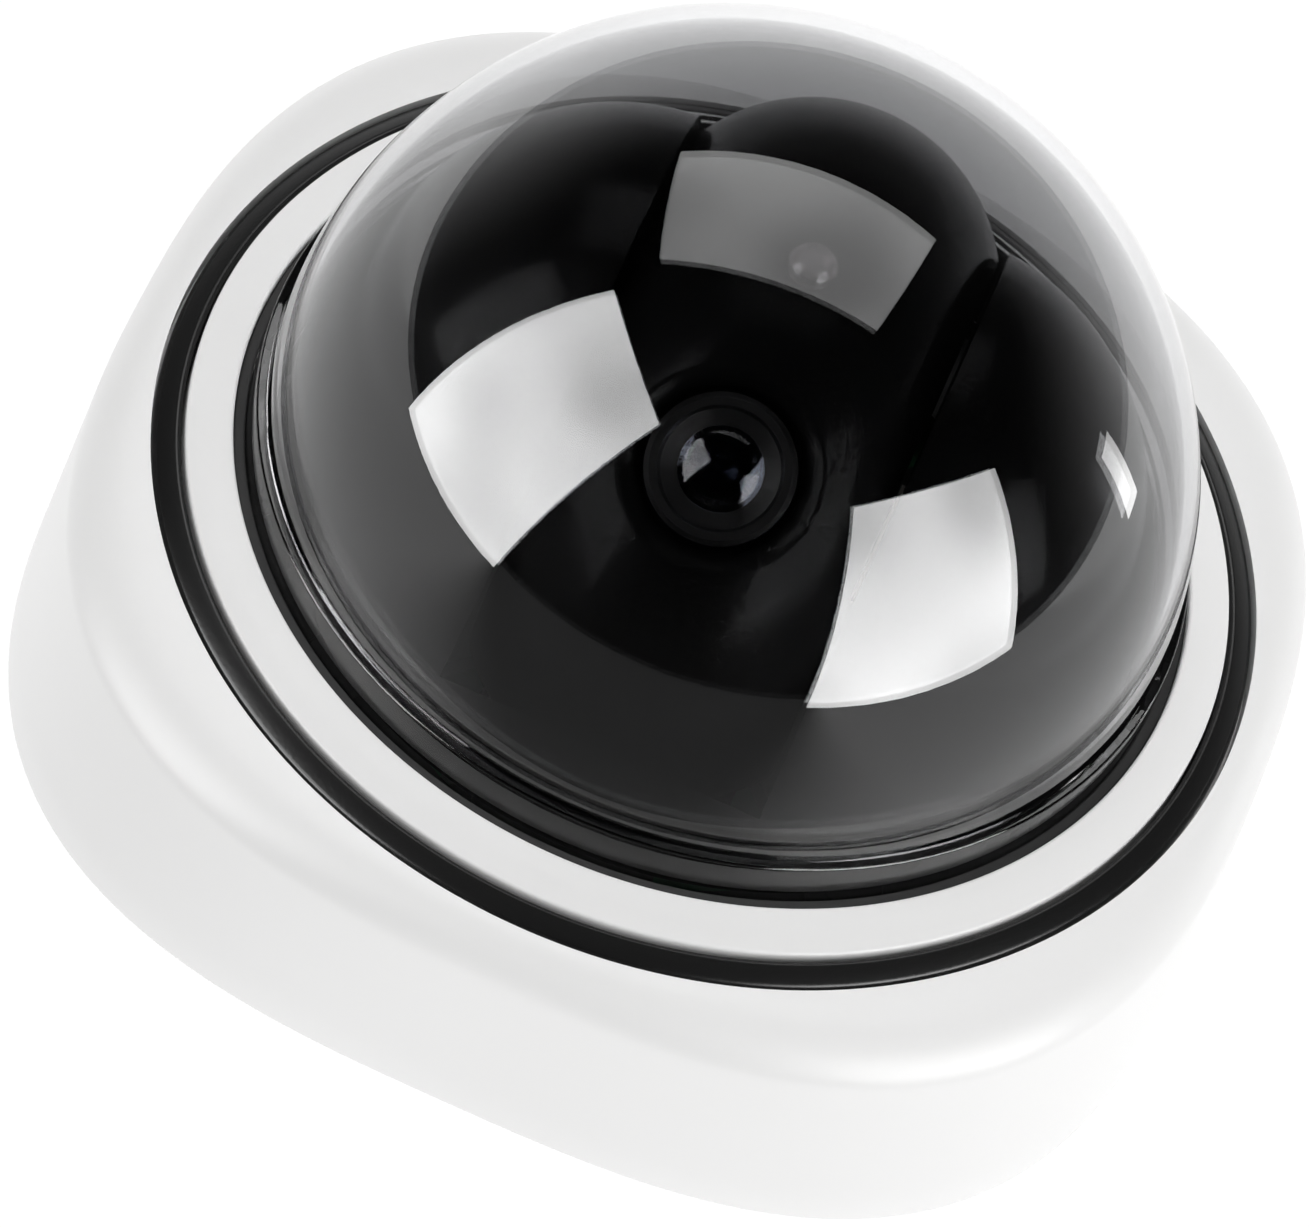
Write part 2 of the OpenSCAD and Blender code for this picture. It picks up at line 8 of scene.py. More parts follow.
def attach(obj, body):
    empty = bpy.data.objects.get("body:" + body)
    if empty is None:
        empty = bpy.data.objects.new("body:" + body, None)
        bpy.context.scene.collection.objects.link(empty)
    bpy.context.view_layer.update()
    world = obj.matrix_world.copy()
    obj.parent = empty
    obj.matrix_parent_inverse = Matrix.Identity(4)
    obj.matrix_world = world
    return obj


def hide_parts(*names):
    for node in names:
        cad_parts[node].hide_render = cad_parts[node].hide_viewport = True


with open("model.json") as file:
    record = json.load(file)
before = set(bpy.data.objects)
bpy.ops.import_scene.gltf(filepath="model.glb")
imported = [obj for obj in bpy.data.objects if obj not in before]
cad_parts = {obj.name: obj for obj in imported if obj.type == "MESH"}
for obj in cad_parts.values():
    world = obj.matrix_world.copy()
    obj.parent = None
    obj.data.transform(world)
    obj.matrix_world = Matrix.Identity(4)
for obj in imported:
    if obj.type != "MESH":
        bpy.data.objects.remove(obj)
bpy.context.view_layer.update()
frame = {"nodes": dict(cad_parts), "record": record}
nodes = frame["nodes"]
mm = 0.001

# helpers for turned and lofted pieces


def finishMesh(bm, name, material, body, stands=(), smooth=35):
    bmesh.ops.remove_doubles(bm, verts=bm.verts, dist=1e-7)
    bmesh.ops.recalc_face_normals(bm, faces=bm.faces)
    mesh = bpy.data.meshes.new(name)
    bm.to_mesh(mesh)
    bm.free()
    piece = bpy.data.objects.new(name, mesh)
    bpy.context.scene.collection.objects.link(piece)
    mesh.polygons.foreach_set("use_smooth", [True] * len(mesh.polygons))
    mesh.set_sharp_from_angle(angle=math.radians(smooth))
    mesh.materials.append(material)
    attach(piece, body)
    if stands:
        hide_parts(*stands)
    return piece


def arc(cx, cz, radius, start, stop, steps):
    # (r, z) points along an arc, degrees from +r towards +z
    points = []
    for i in range(steps + 1):
        a = math.radians(start + (stop - start) * i / steps)
        points.append((cx + radius * math.cos(a), cz + radius * math.sin(a)))
    return points


def turnProfile(bm, profile, steps=192, span=360.0, start=0.0):
    # profile: a closed loop of (r, z) in millimetres, spun about Z
    turn = Matrix.Rotation(math.radians(start), 3, "Z")
    verts = [bm.verts.new(turn @ Vector((r * mm, 0, z * mm))) for r, z in profile]
    edges = [bm.edges.new(pair) for pair in zip(verts, verts[1:] + verts[:1])]
    full = span >= 360.0
    if not full:
        bm.faces.new(verts)
    bmesh.ops.spin(
        bm, geom=verts + edges, cent=(0, 0, 0), axis=(0, 0, 1), dvec=(0, 0, 0),
        angle=math.radians(span), steps=steps, use_merge=full, use_duplicate=False,
    )
    if not full:
        rim = [e for e in bm.edges if e.is_boundary]
        bmesh.ops.holes_fill(bm, edges=rim, sides=0)


# shader groups shared by the finishes

skinOutputs = [
    ("Color", "NodeSocketColor"), ("Roughness", "NodeSocketFloat"), ("Normal", "NodeSocketVector"),
]
# how far the grain and the scratches stand out, in metres, and how rough every coat is
grainDepth = 0.0001
scratchDepth = 0.00005
coatRoughness = 0.1


def newGroup(name, inputs, outputs):
    group = bpy.data.node_groups.new(name, "ShaderNodeTree")
    for label, kind, value in inputs:
        socket = group.interface.new_socket(label, in_out="INPUT", socket_type=kind)
        socket.default_value = value
    for label, kind in outputs:
        group.interface.new_socket(label, in_out="OUTPUT", socket_type=kind)
    tree = group.nodes
    return group, tree, group.links, tree.new("NodeGroupInput"), tree.new("NodeGroupOutput")


def buildMouldedSkin():
    # fine moulding grain, slow colour drift and uneven polish
    group, tree, links, given, out = newGroup(
        "mouldedSkin",
        [("Light", "NodeSocketColor", (0.8, 0.8, 0.8, 1)),
         ("Dark", "NodeSocketColor", (0.7, 0.7, 0.7, 1)),
         ("Grain Size", "NodeSocketFloat", 2500.0), ("Drift Size", "NodeSocketFloat", 35.0),
         ("Polish", "NodeSocketFloat", 0.25), ("Unevenness", "NodeSocketFloat", 0.08),
         ("Depth", "NodeSocketFloat", 0.05)],
        skinOutputs,
    )
    place = tree.new("ShaderNodeTexCoord")
    grain = tree.new("ShaderNodeTexNoise")
    grain.inputs["Detail"].default_value = 2.0
    drift = tree.new("ShaderNodeTexNoise")
    drift.inputs["Detail"].default_value = 3.0
    links.new(place.outputs["Object"], grain.inputs["Vector"])
    links.new(place.outputs["Object"], drift.inputs["Vector"])
    links.new(given.outputs["Grain Size"], grain.inputs["Scale"])
    links.new(given.outputs["Drift Size"], drift.inputs["Scale"])
    blend = tree.new("ShaderNodeMix")
    blend.data_type = "RGBA"
    links.new(drift.outputs["Fac"], blend.inputs["Factor"])
    links.new(given.outputs["Light"], blend.inputs["A"])
    links.new(given.outputs["Dark"], blend.inputs["B"])
    links.new(blend.outputs["Result"], out.inputs["Color"])
    spread = tree.new("ShaderNodeMath")
    spread.operation = "MULTIPLY_ADD"
    centred = tree.new("ShaderNodeMath")
    centred.operation = "SUBTRACT"
    centred.inputs[1].default_value = 0.5
    links.new(drift.outputs["Fac"], centred.inputs[0])
    links.new(centred.outputs[0], spread.inputs[0])
    links.new(given.outputs["Unevenness"], spread.inputs[1])
    links.new(given.outputs["Polish"], spread.inputs[2])
    links.new(spread.outputs[0], out.inputs["Roughness"])
    bump = tree.new("ShaderNodeBump")
    bump.inputs["Distance"].default_value = grainDepth
    links.new(given.outputs["Depth"], bump.inputs["Strength"])
    links.new(grain.outputs["Fac"], bump.inputs["Height"])
    links.new(bump.outputs["Normal"], out.inputs["Normal"])
    return group


def buildBrushedFace():
    # fine directional scratches with a slow tone change
    group, tree, links, given, out = newGroup(
        "brushedFace",
        [("Light", "NodeSocketColor", (0.7, 0.7, 0.7, 1)),
         ("Dark", "NodeSocketColor", (0.5, 0.5, 0.5, 1)),
         ("Along", "NodeSocketVector", (60.0, 4000.0, 4000.0)),
         ("Polish", "NodeSocketFloat", 0.3), ("Unevenness", "NodeSocketFloat", 0.2),
         ("Depth", "NodeSocketFloat", 0.1)],
        skinOutputs,
    )
    place = tree.new("ShaderNodeTexCoord")
    stretch = tree.new("ShaderNodeVectorMath")
    stretch.operation = "MULTIPLY"
    links.new(place.outputs["Object"], stretch.inputs[0])
    links.new(given.outputs["Along"], stretch.inputs[1])
    lines = tree.new("ShaderNodeTexNoise")
    lines.inputs["Scale"].default_value = 1.0
    lines.inputs["Detail"].default_value = 3.0
    links.new(stretch.outputs["Vector"], lines.inputs["Vector"])
    blend = tree.new("ShaderNodeMix")
    blend.data_type = "RGBA"
    links.new(lines.outputs["Fac"], blend.inputs["Factor"])
    links.new(given.outputs["Light"], blend.inputs["A"])
    links.new(given.outputs["Dark"], blend.inputs["B"])
    links.new(blend.outputs["Result"], out.inputs["Color"])
    spread = tree.new("ShaderNodeMath")
    spread.operation = "MULTIPLY_ADD"
    links.new(lines.outputs["Fac"], spread.inputs[0])
    links.new(given.outputs["Unevenness"], spread.inputs[1])
    links.new(given.outputs["Polish"], spread.inputs[2])
    links.new(spread.outputs[0], out.inputs["Roughness"])
    bump = tree.new("ShaderNodeBump")
    bump.inputs["Distance"].default_value = scratchDepth
    links.new(given.outputs["Depth"], bump.inputs["Strength"])
    links.new(lines.outputs["Fac"], bump.inputs["Height"])
    links.new(bump.outputs["Normal"], out.inputs["Normal"])
    return group


mouldedSkin = buildMouldedSkin()
brushedFace = buildBrushedFace()


def newFinish(name, group, metallic=0.0, specular=0.5, coat=0.0, **values):
    # underscores in the value names stand for the spaces in the group's socket names
    material = bpy.data.materials.new(name)
    material.use_nodes = True
    tree = material.node_tree
    shader = tree.nodes["Principled BSDF"]
    shader.inputs["Metallic"].default_value = metallic
    shader.inputs["Specular IOR Level"].default_value = specular
    shader.inputs["Coat Weight"].default_value = coat
    shader.inputs["Coat Roughness"].default_value = coatRoughness
    skin = tree.nodes.new("ShaderNodeGroup")
    skin.node_tree = group
    for label, value in values.items():
        skin.inputs[label.replace("_", " ")].default_value = value
    tree.links.new(skin.outputs["Color"], shader.inputs["Base Color"])
    tree.links.new(skin.outputs["Roughness"], shader.inputs["Roughness"])
    tree.links.new(skin.outputs["Normal"], shader.inputs["Normal"])
    return material


def grey(level, warm=0.0):
    return (level * (1 + warm), level, level * (1 - warm), 1)


finishes = {
    "white_shell": newFinish(
        "whiteShell", mouldedSkin, specular=0.22, Light=grey(0.84, 0.002), Dark=grey(0.81, 0.004),
        Grain_Size=1800.0, Polish=0.42, Unevenness=0.06, Depth=0.06),
    "black_trim": newFinish(
        "blackTrim", mouldedSkin, specular=0.32, Light=grey(0.009), Dark=grey(0.006),
        Grain_Size=2600.0, Polish=0.24, Unevenness=0.08, Depth=0.12),
    "black_matte": newFinish(
        "blackMatte", mouldedSkin, Light=grey(0.03), Dark=grey(0.02),
        Grain_Size=2200.0, Polish=0.55, Unevenness=0.12, Depth=0.3),
    "black_shroud": newFinish(
        "blackShroud", mouldedSkin, specular=0.1, Light=grey(0.002), Dark=grey(0.0012),
        Grain_Size=3200.0, Polish=0.17, Unevenness=0.05, Depth=0.03),
    "black_drum": newFinish(
        "blackDrum", mouldedSkin, specular=0.06, Light=grey(0.002), Dark=grey(0.0012),
        Grain_Size=3200.0, Polish=0.22, Unevenness=0.05, Depth=0.03),
    "lens_black": newFinish(
        "lensBlack", mouldedSkin, specular=0.1, Light=grey(0.003), Dark=grey(0.002),
        Grain_Size=4000.0, Polish=0.38, Unevenness=0.1, Depth=0.15),
    "seal_rubber": newFinish(
        "sealRubber", mouldedSkin, specular=0.3, Light=grey(0.02), Dark=grey(0.012),
        Grain_Size=1500.0, Polish=0.65, Unevenness=0.1, Depth=0.35),
    "nylon_natural": newFinish(
        "nylonNatural", mouldedSkin, Light=(0.78, 0.74, 0.64, 1), Dark=(0.7, 0.66, 0.56, 1),
        Grain_Size=1500.0, Polish=0.45, Unevenness=0.1, Depth=0.1),
    "chip_plastic": newFinish(
        "chipPlastic", mouldedSkin, Light=grey(0.03), Dark=grey(0.02),
        Grain_Size=5000.0, Polish=0.6, Unevenness=0.1, Depth=0.3),
    "board_green": newFinish(
        "boardGreen", mouldedSkin, coat=0.4, Light=(0.02, 0.13, 0.05, 1),
        Dark=(0.012, 0.085, 0.035, 1), Grain_Size=900.0, Drift_Size=160.0,
        Polish=0.35, Unevenness=0.15, Depth=0.15),
    "plate_alloy": newFinish(
        "plateAlloy", brushedFace, metallic=1.0, Light=grey(0.68), Dark=grey(0.56),
        Along=(60.0, 5000.0, 5000.0), Polish=0.26, Unevenness=0.22, Depth=0.12),
    "can_alloy": newFinish(
        "canAlloy", brushedFace, metallic=1.0, Light=grey(0.72), Dark=grey(0.6),
        Along=(3000.0, 3000.0, 100.0), Polish=0.2, Unevenness=0.2, Depth=0.06),
    "bracket_steel": newFinish(
        "bracketSteel", brushedFace, metallic=1.0, Light=grey(0.5), Dark=grey(0.4),
        Along=(4000.0, 4000.0, 90.0), Polish=0.25, Unevenness=0.25, Depth=0.12),
    "screw_steel": newFinish(
        "screwSteel", brushedFace, metallic=1.0, Light=grey(0.55), Dark=grey(0.42),
        Along=(3000.0, 3000.0, 300.0), Polish=0.22, Unevenness=0.2, Depth=0.08),
}


def mixOver(tree, factor, shader):
    # nothing at all where the factor is 1, the shader elsewhere
    clear = tree.nodes.new("ShaderNodeBsdfTransparent")
    mix = tree.nodes.new("ShaderNodeMixShader")
    tree.links.new(factor, mix.inputs["Fac"])
    tree.links.new(shader.outputs["BSDF"], mix.inputs[1])
    tree.links.new(clear.outputs["BSDF"], mix.inputs[2])
    tree.links.new(mix.outputs["Shader"], tree.nodes["Material Output"].inputs["Surface"])


clearSkin = {
    "hazeFrom": 0.35, "hazeTo": 0.75, "bumpStrength": 0.02, "bumpDepth": 0.0002,
    "dullShine": 0.08, "fullShine": 0.5,
}


def newClear(name, colour, ior, haze, smear, dullBelow=None):
    # clear plastic or glass with a faint haze that varies over the surface; it throws no shadow
    s = clearSkin
    material = bpy.data.materials.new(name)
    material.use_nodes = True
    tree = material.node_tree
    shader = tree.nodes["Principled BSDF"]
    shader.inputs["Base Color"].default_value = colour
    shader.inputs["Transmission Weight"].default_value = 1.0
    shader.inputs["IOR"].default_value = ior
    place = tree.nodes.new("ShaderNodeTexCoord")
    cloud = tree.nodes.new("ShaderNodeTexNoise")
    cloud.inputs["Scale"].default_value = smear
    cloud.inputs["Detail"].default_value = 3.0
    level = tree.nodes.new("ShaderNodeMapRange")
    level.inputs["From Min"].default_value = s["hazeFrom"]
    level.inputs["From Max"].default_value = s["hazeTo"]
    level.inputs["To Min"].default_value = 0.0
    level.inputs["To Max"].default_value = haze
    bump = tree.nodes.new("ShaderNodeBump")
    bump.inputs["Strength"].default_value = s["bumpStrength"]
    bump.inputs["Distance"].default_value = s["bumpDepth"]
    tree.links.new(place.outputs["Object"], cloud.inputs["Vector"])
    tree.links.new(cloud.outputs["Fac"], level.inputs["Value"])
    tree.links.new(level.outputs["Result"], shader.inputs["Roughness"])
    tree.links.new(cloud.outputs["Fac"], bump.inputs["Height"])
    tree.links.new(bump.outputs["Normal"], shader.inputs["Normal"])
    if dullBelow:
        # the moulded skirt shines less than the polished ball above it
        split = tree.nodes.new("ShaderNodeSeparateXYZ")
        shine = tree.nodes.new("ShaderNodeMapRange")
        shine.inputs["From Min"].default_value = dullBelow[0]
        shine.inputs["From Max"].default_value = dullBelow[1]
        shine.inputs["To Min"].default_value = s["dullShine"]
        shine.inputs["To Max"].default_value = s["fullShine"]
        tree.links.new(place.outputs["Object"], split.inputs["Vector"])
        tree.links.new(split.outputs["Z"], shine.inputs["Value"])
        tree.links.new(shine.outputs["Result"], shader.inputs["Specular IOR Level"])
    path = tree.nodes.new("ShaderNodeLightPath")
    mixOver(tree, path.outputs["Is Shadow Ray"], shader)
    return material


# colour, index of refraction, haze and the haze's scale
finishes["clear_dome"] = newClear(
    "clearDome", (0.46, 0.462, 0.47, 1), 1.49, 0.03, 30.0, dullBelow=(0.026, 0.034))
finishes["lens_glass"] = newClear("lensGlass", (0.75, 0.8, 0.95, 1), 1.7, 0.01, 60.0)
finishes["indicator_clear"] = newClear(
    "indicatorClear", (1.0, 0.86, 0.9, 1), 1.5, 0.08, 200.0)
print("finishes made:", len(finishes))

# body shell: superellipse rings lofted from the foot to the opening, then back down inside

bodyShell = {
    "sides": 240, "footHalf": 59.1, "footPower": 2.92, "shoulderHalf": 58.35, "shoulderPower": 2.61,
    "height": 23.3, "shoulder": 4.8, "openRadius": 54.3, "ledgeRadius": 52.0, "wall": 2.3,
    "footRound": 0.6, "footDraft": 0.3, "trimDepth": 2.3, "ledgeDepth": 4.3, "wallDepth": 6.3,
    "ledgeStep": 0.2, "footSteps": 4, "sideSteps": 5, "shoulderSteps": 14,
}


def squircle(angle, half, power):
    return half / (abs(math.cos(angle)) ** power + abs(math.sin(angle)) ** power) ** (1 / power)


def placeRing(verts, z, half, power, roundRadius, blend):
    for v in verts:
        angle = math.atan2(v.co.y, v.co.x)
        radius = squircle(angle, half, power) * (1 - blend) + roundRadius * blend
        v.co = Vector((radius * math.cos(angle) * mm, radius * math.sin(angle) * mm, z * mm))


def makeBodyShell(s):
    rings = []
    for i in range(s["footSteps"] + 1):  # rounded foot edge
        a = math.radians(90 * i / s["footSteps"])
        rings.append((s["footRound"] * (1 - math.cos(a)),
                      s["footHalf"] - s["footRound"] * (1 - math.sin(a)), s["footPower"], 0.0))
    shoulderZ = s["height"] - s["shoulder"]
    for i in range(1, s["sideSteps"] + 1):  # drafted side
        k = i / s["sideSteps"]
        rings.append((s["footRound"] + (shoulderZ - s["footRound"]) * k,
                      s["footHalf"] + (s["shoulderHalf"] - s["footHalf"]) * k,
                      s["footPower"] + (s["shoulderPower"] - s["footPower"]) * k, 0.0))
    for i in range(1, s["shoulderSteps"] + 1):  # shoulder, from squarish to round
        a = math.radians(90 * i / s["shoulderSteps"])
        rings.append((shoulderZ + s["shoulder"] * math.sin(a), s["shoulderHalf"],
                      s["shoulderPower"], 1 - math.cos(a)))
    trimZ, ledgeZ = s["height"] - s["trimDepth"], s["height"] - s["ledgeDepth"]
    inside = [
        (trimZ, s["openRadius"]), (trimZ, s["ledgeRadius"]),
        (ledgeZ, s["ledgeRadius"]), (ledgeZ, s["openRadius"] - s["ledgeStep"]),
    ]
    bm = bmesh.new()
    bmesh.ops.create_circle(bm, cap_ends=False, radius=1, segments=s["sides"])
    firstLoop = list(bm.edges)
    z, half, power, blend = rings[0]
    placeRing(bm.verts, z, half, power, s["openRadius"], blend)

    def step(edges, z, half, power, roundRadius, blend):
        grown = bmesh.ops.extrude_edge_only(bm, edges=edges)["geom"]
        verts = [g for g in grown if isinstance(g, bmesh.types.BMVert)]
        placeRing(verts, z, half, power, roundRadius, blend)
        return [g for g in grown if isinstance(g, bmesh.types.BMEdge) and g.is_boundary]

    loop = firstLoop
    for z, half, power, blend in rings[1:]:
        loop = step(loop, z, half, power, s["openRadius"], blend)
    for z, radius in inside:
        loop = step(loop, z, s["shoulderHalf"], s["shoulderPower"], radius, 1.0)
    loop = step(loop, s["height"] - s["wallDepth"], s["shoulderHalf"] - s["wall"],
                s["shoulderPower"], s["ledgeRadius"], 0)
    loop = step(loop, 0, s["footHalf"] - s["wall"] - s["footDraft"],
                s["footPower"], s["ledgeRadius"], 0)
    bmesh.ops.bridge_loops(bm, edges=loop + firstLoop)
    return finishMesh(
        bm, "bodyShell", finishes["white_shell"], "base", ("body_shell",), 40)


makeBodyShell(bodyShell)
print("body shell made")

# rings and seal round the dome

ringSides = 256
trimRing = {
    "outer": 54.0, "inner": 51.5, "seat": 21.0, "top": 23.3, "outerRound": 0.9, "innerRound": 0.4,
    "innerRise": 0.3, "crestAngle": 66, "roundSteps": 6,
}
lockRing = {
    "outer": 51.2, "edge": 24.5, "lip": 46.85, "lipTop": 25.8, "wall": 48.7, "under": 24.25,
    "foot": 13.0, "collar": 49.4, "step": 18.8, "edgeRound": 0.35, "edgeDrop": 0.25,
    "lipRound": 0.3, "roundSteps": 5, "lugs": 3, "lugSpan": 16.0, "lugReach": 51.3,
    "lugThick": 1.6, "lugRoot": 0.4, "lugSteps": 8,
}
domeSeal = {
    "inner": 45.65, "outer": 46.8, "base": 24.2, "top": 25.2, "round": 0.25, "roundFrom": 20,
    "roundSteps": 3, "sides": 192,
}


def makeTrimRing(s):
    bm = bmesh.new()
    profile = [(s["inner"], s["seat"]), (s["outer"], s["seat"])]
    profile += arc(s["outer"] - s["outerRound"], s["top"] - s["outerRound"], s["outerRound"],
                   0, s["crestAngle"], s["roundSteps"])
    profile += arc(s["inner"] + s["innerRound"], s["top"] + s["innerRise"], s["innerRound"],
                   s["crestAngle"], 180, s["roundSteps"])
    turnProfile(bm, profile, ringSides)
    return finishMesh(
        bm, "trimRing", finishes["black_trim"], "base", ("trim_ring",))


def makeLockRing(s):
    bm = bmesh.new()
    slope = math.degrees(math.atan2(s["lipTop"] - s["edge"], s["outer"] - s["lip"]))
    profile = [(s["wall"], s["foot"]), (s["collar"], s["foot"]),
               (s["collar"], s["step"]), (s["outer"], s["step"])]
    profile += arc(s["outer"] - s["edgeRound"], s["edge"] - s["edgeDrop"], s["edgeRound"],
                   0, 90 - slope, s["roundSteps"])
    profile += arc(s["lip"] + s["lipRound"], s["lipTop"] - s["lipRound"], s["lipRound"],
                   90 - slope, 180, s["roundSteps"])
    profile += [(s["lip"], s["under"]), (s["wall"], s["under"])]
    turnProfile(bm, profile, ringSides)
    root, lugTop = s["collar"] - s["lugRoot"], s["foot"] + s["lugThick"]
    lug = [(root, s["foot"]), (s["lugReach"], s["foot"]), (s["lugReach"], lugTop), (root, lugTop)]
    for i in range(s["lugs"]):
        start = 360 * i / s["lugs"] - s["lugSpan"] / 2
        turnProfile(bm, lug, s["lugSteps"], s["lugSpan"], start)
    return finishMesh(
        bm, "lockRing", finishes["white_shell"], "cover", ("lock_ring",))


def makeDomeSeal(s):
    bm = bmesh.new()
    r, crown = s["round"], s["top"] - s["round"]
    profile = [(s["inner"], s["base"]), (s["outer"], s["base"]), (s["outer"], crown)]
    profile += arc(s["outer"] - r, crown, r, s["roundFrom"], 90, s["roundSteps"])
    profile += arc(s["inner"] + r, crown, r, 90, 180, s["roundSteps"])
    turnProfile(bm, profile, s["sides"])
    return finishMesh(
        bm, "domeSeal", finishes["seal_rubber"], "cover", ("dome_seal",))


makeTrimRing(trimRing)
makeLockRing(lockRing)
makeDomeSeal(domeSeal)
print("rings made")

# clear dome: a spherical shell over a straight skirt with a seating flange

domeShell = {
    "radius": 44.75, "wall": 1.5, "centre": 29.25, "skirt": 45.6, "skirtTop": 30.1,
    "skirtRound": 0.25, "innerLift": 0.2, "flange": 48.4, "flangeTop": 24.2, "flangeBase": 22.7,
    "ballSteps": 72, "roundSteps": 4, "sides": 288,
}


def makeDome(s):
    bm = bmesh.new()
    outer, inner, c = s["radius"], s["radius"] - s["wall"], s["centre"]
    skirtIn, r = s["skirt"] - s["wall"], s["skirtRound"]
    rise = math.degrees(math.asin((s["skirtTop"] - c) / outer))
    innerRise = math.degrees(math.asin(s["innerLift"] / inner))
    profile = arc(0, c, inner, 90, innerRise, s["ballSteps"])
    profile += [(skirtIn, c + s["innerLift"]), (skirtIn, s["flangeBase"]),
                (s["flange"], s["flangeBase"]), (s["flange"], s["flangeTop"]),
                (s["skirt"], s["flangeTop"])]
    profile += arc(s["skirt"] - r, s["skirtTop"] - r, r, 0, 90, s["roundSteps"])
    profile += arc(0, c, outer, rise, 90, s["ballSteps"])
    turnProfile(bm, profile, s["sides"])
    return finishMesh(
        bm, "clearDome", finishes["clear_dome"], "cover", ("dome",), 30)


makeDome(domeShell)
print("dome made")

# materials on the pieces that stay as they are

slotOf = {part["node"]: part["material_slot"] for part in frame["record"]["subparts"]}
for name, node in nodes.items():
    material = finishes[slotOf[name]]
    node.data.materials.clear()
    node.data.materials.append(material)
print("carried pieces finished:", len(nodes))

# floor, lights and camera

stageSettings = {
    "floorSize": 6.0, "drop": 0.0002, "seen": 1.0, "fill": 1.52,
    "floorFront": 0.22, "floorSides": 1.1, "floorBack": 1.6,
    "spreadY": 0.8, "sideFrom": -0.05, "sideTo": 0.05, "backFrom": 0.04, "backTo": 0.2,
    "airFill": 0.1, "airBack": 0.9, "airSide": 0.03, "airHigh": 0.02,
    "airBackFrom": 0.1, "airHighTo": 0.6,
}
# how a soft box's brightness runs from foot to head, and how it drifts over its face
boxFace = {
    "foot": 1.25, "head": 0.75, "driftScale": 2.2, "driftFrom": 0.3, "driftTo": 0.7,
    "dim": 0.82, "bright": 1.18,
}
# each box is a lamp for matt surfaces and a card, a little nearer, for reflections
cardShare = 0.97
lampAim = Vector((0, 0, 0.03))
boxes = {
    # name: centre, sideways axis, width, height, power of the lamp, power of the card
    "leftBox": ((-0.80, -0.53, 0.37), (0.566, -0.824, 0), 0.76, 1.38, 2.2, 33.0),
    "rightBox": ((0.80, -0.44, 0.14), (0.47, 0.86, -0.24), 0.76, 1.34, 6.2, 38.0),
    "topBox": ((-0.12, 0.36, 0.87), (0.99, 0.05, 0.12), 0.88, 0.55, 2.8, 3.7),
    "slitBox": ((0.31, 0.165, 0.055), (-0.47, 0.88, 0), 0.03, 0.09, 0.0, 0.065),
    "overheadBox": ((0.0, 0.15, 1.3), (1, 0, 0), 1.2, 1.2, 8.6, 0.0),
}


def addMath(tree, operation, first, second):
    node = tree.nodes.new("ShaderNodeMath")
    node.operation = operation
    for socket, value in zip(node.inputs, (first, second)):
        if isinstance(value, (int, float)):
            socket.default_value = value
        else:
            tree.links.new(value, socket)
    return node.outputs[0]


def addRange(tree, value, low, high, atLow, atHigh):
    node = tree.nodes.new("ShaderNodeMapRange")
    node.interpolation_type = "SMOOTHSTEP"
    ends = {"From Min": low, "From Max": high, "To Min": atLow, "To Max": atHigh}
    for name, number in ends.items():
        node.inputs[name].default_value = number
    tree.links.new(value, node.inputs["Value"])
    return node.outputs["Result"]


def addPick(tree, factor, first, second):
    node = tree.nodes.new("ShaderNodeMix")
    tree.links.new(factor, node.inputs["Factor"])
    for name, value in (("A", first), ("B", second)):
        if isinstance(value, (int, float)):
            node.inputs[name].default_value = value
        else:
            tree.links.new(value, node.inputs[name])
    return node.outputs["Result"]


def stageLevel(tree, mirrored, fill, seenLevel):
    # white where it is seen directly or through clear plastic, an even fill on matt parts,
    # and its own level in reflections
    path = tree.nodes.new("ShaderNodeLightPath")
    ray, through = path.outputs["Ray Depth"], path.outputs["Transmission Depth"]
    turned = addMath(tree, "SUBTRACT", ray, through)
    seen = addMath(tree, "LESS_THAN", turned, 0.5)
    bounced = addPick(tree, path.outputs["Is Diffuse Ray"], mirrored, fill)
    return addPick(tree, seen, bounced, seenLevel)


